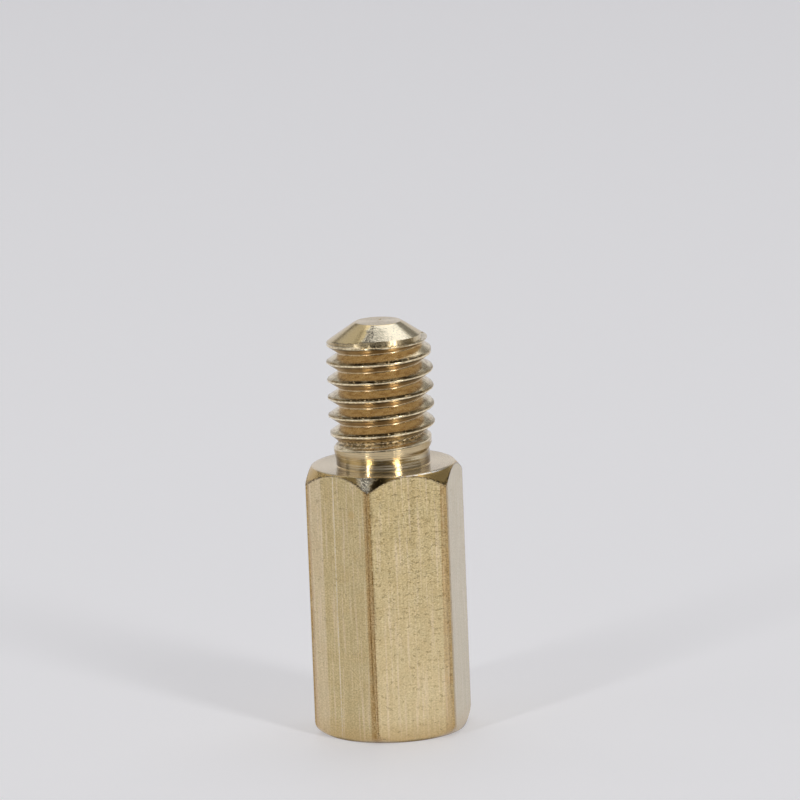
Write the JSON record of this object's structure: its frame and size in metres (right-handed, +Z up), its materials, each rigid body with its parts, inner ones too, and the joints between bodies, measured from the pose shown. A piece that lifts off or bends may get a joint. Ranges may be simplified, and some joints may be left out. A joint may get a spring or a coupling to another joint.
{
  "type": "hex standoff",
  "caption": "Male-female hexagonal brass standoff: a threaded stud on one end, a tapped hole in the other, and chamfered ends.",
  "frame": {"origin": "centre of the foot, the end face that the tapped hole opens in and that the standoff stands on", "axes": "+Z up the axis of the hexagon, the hole and the stud, towards the stud's tip; two corners of the hexagon lie on -X and +X, two of its flats face -Y and +Y"},
  "size_m": [0.0092, 0.008, 0.023],
  "materials": {
    "turned_brass": "drawn hexagon flats with faint lengthwise streaks and small pits; turned chamfers, neck and thread bright"
  },
  "bodies": {
    "root": {"standoff": "turned_brass"}
  },
  "joints": []
}
